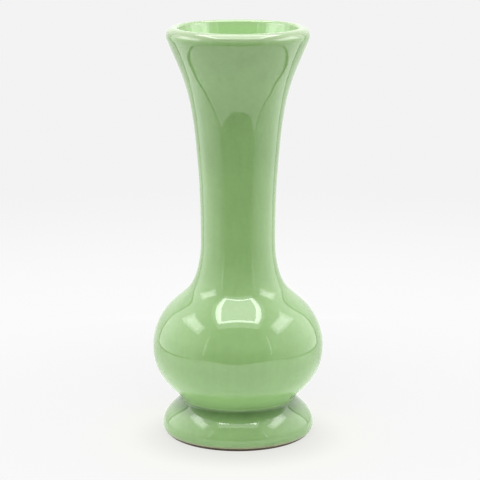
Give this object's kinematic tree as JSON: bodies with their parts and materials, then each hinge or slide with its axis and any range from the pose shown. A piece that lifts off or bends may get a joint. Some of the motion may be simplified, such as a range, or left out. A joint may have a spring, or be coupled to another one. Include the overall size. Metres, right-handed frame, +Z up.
{
  "type": "trumpet-mouth pedestal vase",
  "caption": "Glazed ceramic flower vase: round bulb on a bun foot with a creased ankle, slim neck, and a flared trumpet mouth with a thick rounded lip; stands on a bare foot ring.",
  "frame": {"origin": "centre of the standing ring, on the surface that the vase stands on", "axes": "+Z up along the vase's axis; the vase is round, so +X and +Y are free, with -Y towards the viewer of the picture"},
  "size_m": [0.0998, 0.0998, 0.24],
  "materials": {
    "glaze": "glossy transparent green glaze, paler where it is thin on the lip and darker where it pools in the ankle crease",
    "clay": "bare fired brown clay, matt, with fine grog and turning marks",
    "slip": "fired joining slip of the same clay, matt"
  },
  "bodies": {
    "root": {"foot": "clay", "lower_bowl": "clay", "upper_bowl": "clay", "neck": "clay", "mouth": "clay", "ankle_slip": "slip", "belly_slip": "slip", "collar_slip": "slip", "throat_slip": "slip", "outer_glaze": "glaze", "inner_glaze": "glaze"}
  },
  "joints": []
}
